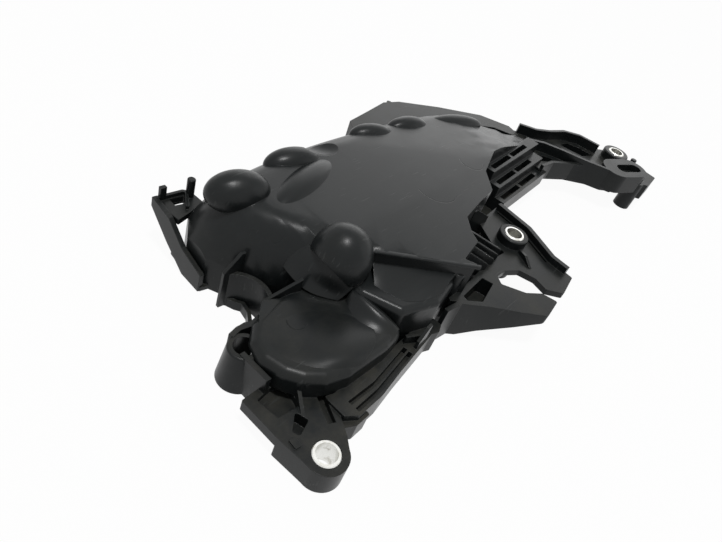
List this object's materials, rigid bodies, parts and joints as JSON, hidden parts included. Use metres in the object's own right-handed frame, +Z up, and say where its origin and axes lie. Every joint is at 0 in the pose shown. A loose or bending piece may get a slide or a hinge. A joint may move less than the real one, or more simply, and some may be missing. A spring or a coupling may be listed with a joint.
{
  "type": "engine valve cover",
  "caption": "Moulded black plastic engine cover with a domed panel, stepped vents, a forked side arm and steel bushes in its bolt lugs.",
  "frame": {"origin": "on the axis of the front bush, at the joint face that the cover rests on", "axes": "+Y along the cover from the front bush towards the rear arm, +Z up out of the domed panel, +X towards the forked side arm"},
  "size_m": [0.1763, 0.3736, 0.053],
  "materials": {
    "cover_plastic": "satin moulded black plastic, dusty",
    "bush_steel": "bright zinc plated"
  },
  "bodies": {
    "root": {"cover_moulding": "cover_plastic", "front_bush": "bush_steel", "side_bush": "bush_steel", "rear_bush": "bush_steel"}
  },
  "joints": []
}
